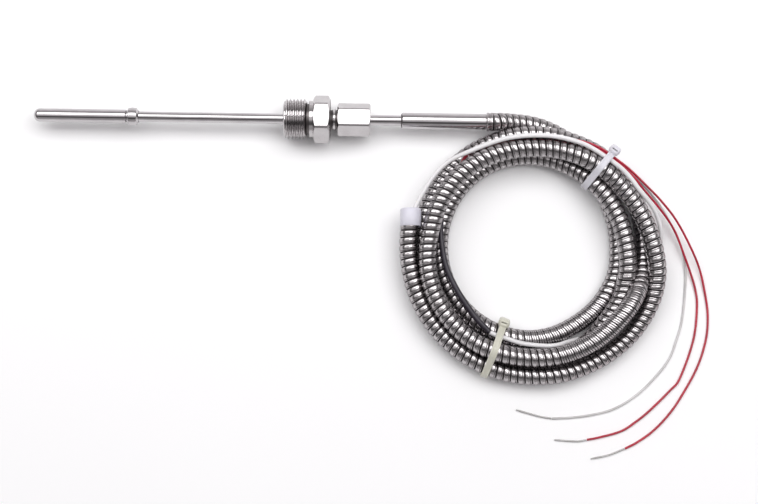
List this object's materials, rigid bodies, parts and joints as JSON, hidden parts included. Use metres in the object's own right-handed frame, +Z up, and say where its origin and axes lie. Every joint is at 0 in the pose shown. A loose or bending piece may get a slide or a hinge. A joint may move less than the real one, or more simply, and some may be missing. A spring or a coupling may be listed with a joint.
{
  "type": "bearing temperature detector",
  "caption": "Slim polished stainless probe in a threaded compression fitting, with an armoured flexible lead coiled and tied beside it and the ends of its cores bare.",
  "frame": {"origin": "Centre of the downward flat of the fitting's large hexagon, directly under the probe's axis", "axes": "+X runs along the probe from its tip towards the coil, +Y is the side of the probe away from the coil, +Z is up from the surface it rests on"},
  "size_m": [0.3487, 0.1844, 0.0241],
  "materials": {
    "polished_steel": "polished stainless",
    "machined_steel": "turned and milled stainless",
    "armour_steel": "bright rolled strip",
    "element_sheath": "smooth",
    "conductor": "bare wire",
    "ceramic": "fired and matt",
    "potting_resin": "cast",
    "white_plastic": "satin",
    "white_jacket": "semi-gloss jacket",
    "white_core_jacket": "semi-gloss",
    "black_shrink": "shrunk sleeve, satin",
    "red_jacket": "semi-gloss",
    "tinned_strands": "tinned strands",
    "pale_nylon": "translucent nylon",
    "yellowed_nylon": "translucent nylon, slightly yellowed"
  },
  "bodies": {
    "root": {"tip_sleeve": "polished_steel", "retaining_collar": "polished_steel", "stem_tube": "polished_steel", "rtd_element": "element_sheath", "element_cup": "ceramic", "lead_insulator": "ceramic", "conductor_1": "conductor", "conductor_2": "conductor", "conductor_3": "conductor", "fitting_body": "machined_steel", "front_ferrule": "machined_steel", "back_ferrule": "machined_steel", "compression_nut": "machined_steel", "transition_sleeve": "polished_steel", "potting": "potting_resin", "crimp_ring": "armour_steel", "armour_lead": "armour_steel", "armour_coil": "armour_steel", "armour_tail": "armour_steel", "end_bushing": "white_plastic", "lead_cable": "white_jacket", "heat_shrink_boot": "black_shrink", "red_core_a": "red_jacket", "red_core_b": "red_jacket", "white_core": "white_core_jacket", "red_end_a": "tinned_strands", "red_end_b": "tinned_strands", "white_end": "tinned_strands", "cable_tie_upper": "pale_nylon", "cable_tie_lower": "yellowed_nylon"}
  },
  "joints": []
}
